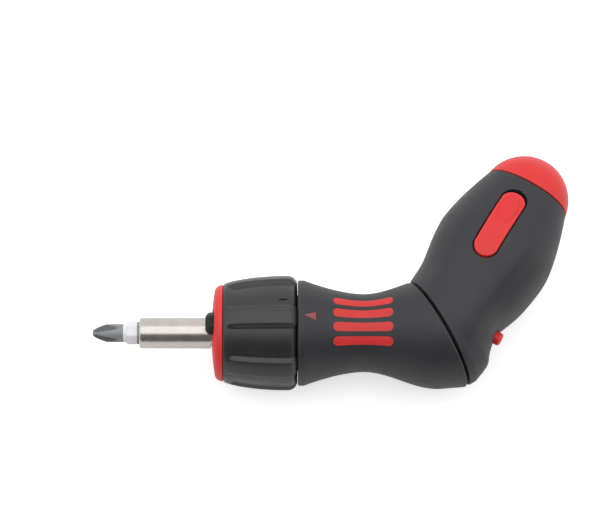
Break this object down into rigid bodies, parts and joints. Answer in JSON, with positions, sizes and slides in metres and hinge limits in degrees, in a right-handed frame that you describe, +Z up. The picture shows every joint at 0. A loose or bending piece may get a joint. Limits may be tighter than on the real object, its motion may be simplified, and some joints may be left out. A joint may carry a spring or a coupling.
{
  "type": "ratcheting screwdriver",
  "caption": "Ratcheting screwdriver with a magnetic hexagon bit holder, ribbed direction ring and a handle that twists from straight to pistol grip and holds a pull-out bit magazine.",
  "frame": {"origin": "on the drive axis at the mouth of the bit holder", "axes": "+X from the bit back along the drive axis, +Y to the side the handle bends to, +Z up from the table the tool lies on"},
  "size_m": [0.153, 0.0777, 0.0378],
  "materials": {
    "steel_tip": "satin ground tool steel",
    "band_white": "glossy white colour band",
    "plated": "nickel plated, bright",
    "steel": "plain steel",
    "bronze": "sintered bronze",
    "black_steel": "black phosphated steel",
    "red": "satin red plastic",
    "grip": "matt soft-touch charcoal grip",
    "black_plastic": "matt black glass-filled plastic",
    "mark": "black print",
    "arrow": "dull red inlay"
  },
  "bodies": {
    "barrel": {"front_ring": "red", "nose_core": "black_plastic", "nose_screws": "steel", "front_bush": "bronze", "rear_bush": "bronze", "ratchet_plate": "steel", "detent_ball": "steel", "detent_spring": "steel", "pawl_pins": "steel", "pawl_springs": "steel", "barrel_grip": "grip", "barrel_core": "black_plastic", "index_arrow": "arrow", "swivel_post": "steel", "friction_washer": "black_plastic", "post_circlip": "black_steel", "index_disc": "steel", "index_screw": "steel"},
    "spindle": {"bit_holder": "plated", "socket_magnet": "steel", "bit_snap_ring": "steel", "drive_shaft": "steel", "ratchet_wheel": "steel", "thrust_washer": "bronze", "shaft_circlip": "black_steel"},
    "bit": {"screwdriver_bit": "steel_tip", "bit_colour_band": "band_white"},
    "spare": {"spare_bit": "black_steel"},
    "selector": {"selector_ring": "black_plastic", "selector_cam": "bronze", "selector_mark": "mark"},
    "pawl_forward": {"forward_pawl": "steel"},
    "pawl_reverse": {"reverse_pawl": "steel"},
    "handle": {"handle_half_upper": "grip", "handle_half_lower": "grip", "handle_frame": "black_plastic", "handle_screws": "steel", "lock_spring": "steel", "latch_pin": "steel", "latch_spring": "steel", "ejector_spring": "steel"},
    "lock": {"lock_button": "red", "lock_hook": "steel"},
    "latch": {"latch_rocker": "red"},
    "magazine_unit": {"magazine": "black_plastic", "stored_bits": "steel_tip", "end_cap": "red", "end_cap_screw": "steel"}
  },
  "joints": [
    {"name": "ratchet_spin", "type": "hinge", "parent": "barrel", "child": "spindle", "pos_m": [0, 0, 0], "axis": [1, 0, 0], "continuous": true},
    {"name": "bit_pull", "type": "slide", "parent": "spindle", "child": "bit", "axis": [-1, 0, 0], "range_m": [0, 0.012]},
    {"name": "spare_bit_pull", "type": "slide", "parent": "barrel", "child": "spare", "axis": [-1, 0, 0], "range_m": [0, 0.026]},
    {"name": "selector_turn", "type": "hinge", "parent": "barrel", "child": "selector", "pos_m": [0, 0, 0], "axis": [1, 0, 0], "range_deg": [-20, 20]},
    {"name": "forward_pawl_turn", "type": "hinge", "parent": "barrel", "child": "pawl_forward", "pos_m": [0.0481, 0.00495, -0.00857], "axis": [1, 0, 0], "range_deg": [-5, 5]},
    {"name": "reverse_pawl_turn", "type": "hinge", "parent": "barrel", "child": "pawl_reverse", "pos_m": [0.0481, -0.00495, -0.00857], "axis": [1, 0, 0], "range_deg": [-5, 5]},
    {"name": "handle_twist", "type": "hinge", "parent": "barrel", "child": "handle", "pos_m": [0.09556, -0.00118, 0], "axis": [0.866, 0.5, 0], "range_deg": [0, 180]},
    {"name": "lock_button_press", "type": "slide", "parent": "handle", "child": "lock", "axis": [-0.866, 0.5, 0], "range_m": [0, 0.0018], "stiffness_N_per_m": 900, "springref_m": -0.001, "deforming": ["lock_spring"]},
    {"name": "latch_rock", "type": "hinge", "parent": "handle", "child": "latch", "pos_m": [0.11461, 0.03066, 0.01381], "axis": [-0.866, 0.5, 0], "range_deg": [0, 4.5], "stiffness_Nm_per_rad": 0.6, "springref_deg": -1.72, "deforming": ["latch_spring"]},
    {"name": "magazine_slide", "type": "slide", "parent": "handle", "child": "magazine_unit", "axis": [0.5, 0.866, 0], "range_m": [0, 0.03], "deforming": ["ejector_spring"]}
  ],
  "couplings": [
    {"joint": "forward_pawl_turn", "follows": "selector_turn", "ratio": 0.24},
    {"joint": "reverse_pawl_turn", "follows": "selector_turn", "ratio": 0.24}
  ]
}
